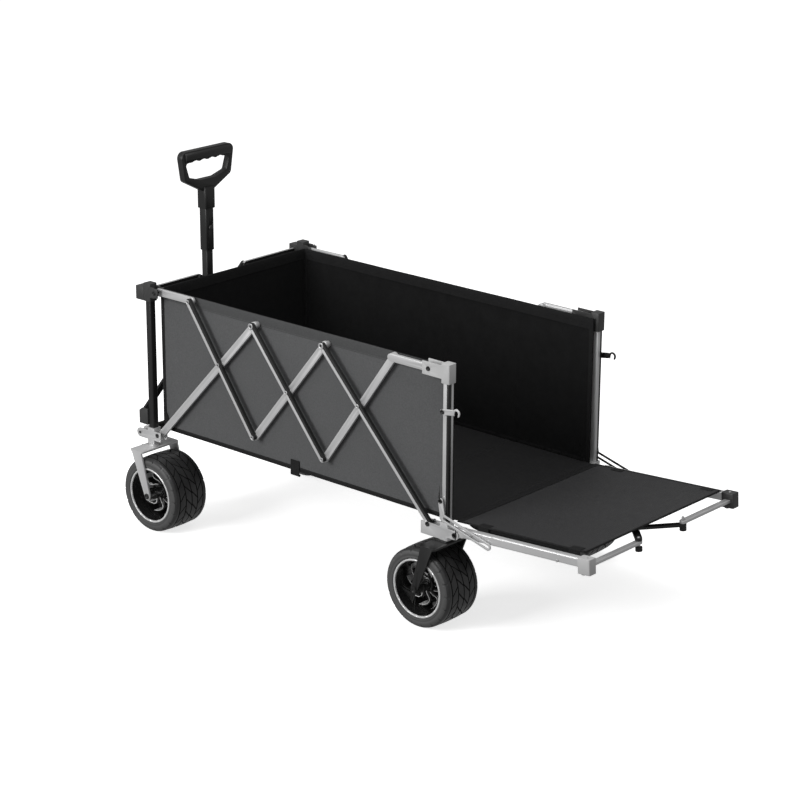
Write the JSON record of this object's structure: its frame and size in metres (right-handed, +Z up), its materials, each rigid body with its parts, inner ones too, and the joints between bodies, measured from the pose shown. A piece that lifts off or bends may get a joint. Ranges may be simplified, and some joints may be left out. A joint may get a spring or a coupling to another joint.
{
  "type": "folding camp wagon",
  "caption": "Four-wheeled fabric wagon on a scissor-folding tube frame, with a lowered tailgate deck, swivelling front casters, wide tyres and a telescopic pull handle.",
  "frame": {"origin": "middle of the overall length and width, on the ground", "axes": "+X points from the handle end to the tailgate end, +Y to the right-hand side for someone walking from tailgate to handle, +Z up"},
  "size_m": [1.6344, 0.7484, 1.012],
  "materials": {
    "silver_frame": "satin silver powder coat",
    "black_frame": "satin black powder coat",
    "grey_moulding": "fine-grained dark grey nylon",
    "silver_moulding": "fine-grained silver grey nylon",
    "black_plastic": "fine-grained black plastic",
    "grip": "soft moulded black rubber",
    "side_fabric": "heavy grey polyester weave",
    "inner_fabric": "heavy black polyester weave",
    "deck_fabric": "heavy charcoal polyester weave",
    "tyre": "matte moulded rubber",
    "rim": "black with bright machined edges",
    "fastener": "zinc-plated steel"
  },
  "bodies": {
    "front_frame": {"front_posts": "black_frame", "front_corner_fittings": "grey_moulding", "front_lower_brackets": "silver_frame", "end_bar_outer": "black_frame", "end_bar_inner": "black_frame", "end_links": "silver_frame", "end_bar_feet": "grey_moulding", "draw_bar": "black_frame", "handle_yoke": "black_plastic", "front_panel": "inner_fabric", "side_panel_left": "side_fabric", "side_panel_right": "side_fabric", "floor_panel": "inner_fabric", "front_bolts": "fastener"},
    "rising_front": {"rising_bars_front": "silver_frame"},
    "falling_front": {"falling_bars_front": "silver_frame", "rivets_front": "fastener"},
    "rising_middle": {"rising_bars_middle": "silver_frame"},
    "falling_middle": {"falling_bars_middle": "silver_frame", "rivets_middle": "fastener"},
    "rising_rear": {"rising_bars_rear": "silver_frame"},
    "falling_rear": {"falling_bars_rear": "silver_frame", "rivets_rear": "fastener"},
    "front_links": {"front_top_links": "silver_frame"},
    "rear_frame": {"rear_posts": "silver_frame", "rear_corner_fittings": "silver_moulding", "rear_lower_brackets": "silver_frame", "rear_forks": "black_frame", "rear_bolts": "fastener"},
    "rear_links": {"rear_top_links": "silver_frame"},
    "hook_left": {"latch_hook_left": "silver_frame"},
    "hook_right": {"latch_hook_right": "black_frame"},
    "braces": {"brace_arms": "silver_frame"},
    "tailgate": {"tailgate_tubes": "silver_frame", "tailgate_corners": "silver_moulding", "tailgate_bars": "black_frame", "tailgate_links": "silver_frame", "tailgate_feet": "black_plastic", "tailgate_panel": "deck_fabric", "tailgate_studs": "fastener"},
    "caster_left": {"caster_fork_left": "silver_frame", "caster_axle_left": "fastener"},
    "caster_right": {"caster_fork_right": "silver_frame", "caster_axle_right": "fastener"},
    "pedal_left": {"brake_pedal_left": "silver_frame"},
    "pedal_right": {"brake_pedal_right": "silver_frame"},
    "wheel_front_left": {"tyre_front_left": "tyre", "rim_front_left": "rim"},
    "wheel_front_right": {"tyre_front_right": "tyre", "rim_front_right": "rim"},
    "wheel_rear_left": {"tyre_rear_left": "tyre", "rim_rear_left": "rim"},
    "wheel_rear_right": {"tyre_rear_right": "tyre", "rim_rear_right": "rim"},
    "handle_lower": {"handle_stem": "black_frame"},
    "handle_upper": {"handle_sleeve": "black_frame", "handle_grip": "grip"},
    "lock_button": {"lock_button": "grey_moulding"}
  },
  "joints": [
    {"name": "fold", "type": "hinge", "parent": "front_frame", "child": "rising_front", "pos_m": [-0.68516, 0, 0.267], "axis": [0, -1, 0], "range_deg": [0, 33], "deforming": ["side_panel_left", "side_panel_right", "floor_panel"]},
    {"name": "cross_front", "type": "hinge", "parent": "rising_front", "child": "falling_front", "pos_m": [-0.44348, 0, 0.52312], "axis": [0, -1, 0], "range_deg": [-60.06, 0]},
    {"name": "low_front", "type": "hinge", "parent": "falling_front", "child": "rising_middle", "pos_m": [-0.31716, 0, 0.348], "axis": [0, -1, 0], "range_deg": [0, 56.94]},
    {"name": "cross_middle", "type": "hinge", "parent": "rising_middle", "child": "falling_middle", "pos_m": [-0.19016, 0, 0.5025], "axis": [0, -1, 0], "range_deg": [-59.82, 0]},
    {"name": "low_rear", "type": "hinge", "parent": "falling_middle", "child": "rising_rear", "pos_m": [-0.06316, 0, 0.348], "axis": [0, -1, 0], "range_deg": [0, 56.94]},
    {"name": "cross_rear", "type": "hinge", "parent": "rising_rear", "child": "falling_rear", "pos_m": [0.06317, 0, 0.52312], "axis": [0, -1, 0], "range_deg": [-60.06, 0]},
    {"name": "rear_frame_level", "type": "hinge", "parent": "falling_rear", "child": "rear_frame", "pos_m": [0.30484, 0, 0.267], "axis": [0, -1, 0], "range_deg": [0, 33.05]},
    {"name": "front_link", "type": "hinge", "parent": "front_frame", "child": "front_links", "pos_m": [-0.68316, 0, 0.67678], "axis": [0, -1, 0], "range_deg": [0, 75.35]},
    {"name": "rear_link", "type": "hinge", "parent": "rear_frame", "child": "rear_links", "pos_m": [0.30284, 0, 0.67678], "axis": [0, -1, 0], "range_deg": [-75.35, 0]},
    {"name": "tailgate", "type": "hinge", "parent": "rear_frame", "child": "tailgate", "pos_m": [0.39384, 0, 0.259], "axis": [0, -1, 0], "range_deg": [0, 86.3]},
    {"name": "brace", "type": "hinge", "parent": "rear_frame", "child": "braces", "pos_m": [0.34984, 0, 0.341], "axis": [0, -1, 0], "range_deg": [0, 37.39]},
    {"name": "hook_left", "type": "hinge", "parent": "rear_frame", "child": "hook_left", "pos_m": [0.35284, -0.301, 0.576], "axis": [0, -1, 0], "range_deg": [0, 60]},
    {"name": "caster_left", "type": "hinge", "parent": "front_frame", "child": "caster_left", "pos_m": [-0.71216, -0.301, 0.232], "axis": [0, 0, 1], "continuous": true},
    {"name": "wheel_front_left", "type": "hinge", "parent": "caster_left", "child": "wheel_front_left", "pos_m": [-0.67216, -0.301, 0.107], "axis": [0, 1, 0], "continuous": true},
    {"name": "wheel_rear_left", "type": "hinge", "parent": "rear_frame", "child": "wheel_rear_left", "pos_m": [0.31084, -0.301, 0.107], "axis": [0, 1, 0], "continuous": true},
    {"name": "brake_left", "type": "hinge", "parent": "caster_left", "child": "pedal_left", "pos_m": [-0.74116, -0.301, 0.218], "axis": [0, 1, 0], "range_deg": [-14, 0]},
    {"name": "hook_right", "type": "hinge", "parent": "rear_frame", "child": "hook_right", "pos_m": [0.35284, 0.301, 0.576], "axis": [0, -1, 0], "range_deg": [0, 60]},
    {"name": "caster_right", "type": "hinge", "parent": "front_frame", "child": "caster_right", "pos_m": [-0.71216, 0.301, 0.232], "axis": [0, 0, 1], "continuous": true},
    {"name": "wheel_front_right", "type": "hinge", "parent": "caster_right", "child": "wheel_front_right", "pos_m": [-0.67216, 0.301, 0.107], "axis": [0, 1, 0], "continuous": true},
    {"name": "wheel_rear_right", "type": "hinge", "parent": "rear_frame", "child": "wheel_rear_right", "pos_m": [0.31084, 0.301, 0.107], "axis": [0, 1, 0], "continuous": true},
    {"name": "brake_right", "type": "hinge", "parent": "caster_right", "child": "pedal_right", "pos_m": [-0.74116, 0.301, 0.218], "axis": [0, 1, 0], "range_deg": [-14, 0]},
    {"name": "handle_tilt", "type": "hinge", "parent": "front_frame", "child": "handle_lower", "pos_m": [-0.79816, 0, 0.262], "axis": [0, -1, 0], "range_deg": [0, 75]},
    {"name": "handle_slide", "type": "slide", "parent": "handle_lower", "child": "handle_upper", "axis": [0, 0, 1], "range_m": [-0.1, 0.03]},
    {"name": "lock_button", "type": "slide", "parent": "handle_upper", "child": "lock_button", "axis": [-1, 0, 0], "range_m": [0, 0.002], "stiffness_N_per_m": 800}
  ],
  "couplings": [
    {"joint": "cross_front", "follows": "fold", "ratio": -1.8184},
    {"joint": "low_front", "follows": "fold", "ratio": 1.7239},
    {"joint": "cross_middle", "follows": "fold", "ratio": -1.8111},
    {"joint": "low_rear", "follows": "fold", "ratio": 1.7239},
    {"joint": "cross_rear", "follows": "fold", "ratio": -1.8184},
    {"joint": "rear_frame_level", "follows": "fold", "ratio": 1},
    {"joint": "front_link", "follows": "fold", "ratio": 2.2817},
    {"joint": "rear_link", "follows": "fold", "ratio": -2.2817},
    {"joint": "brace", "follows": "tailgate", "ratio": 0.4327}
  ]
}
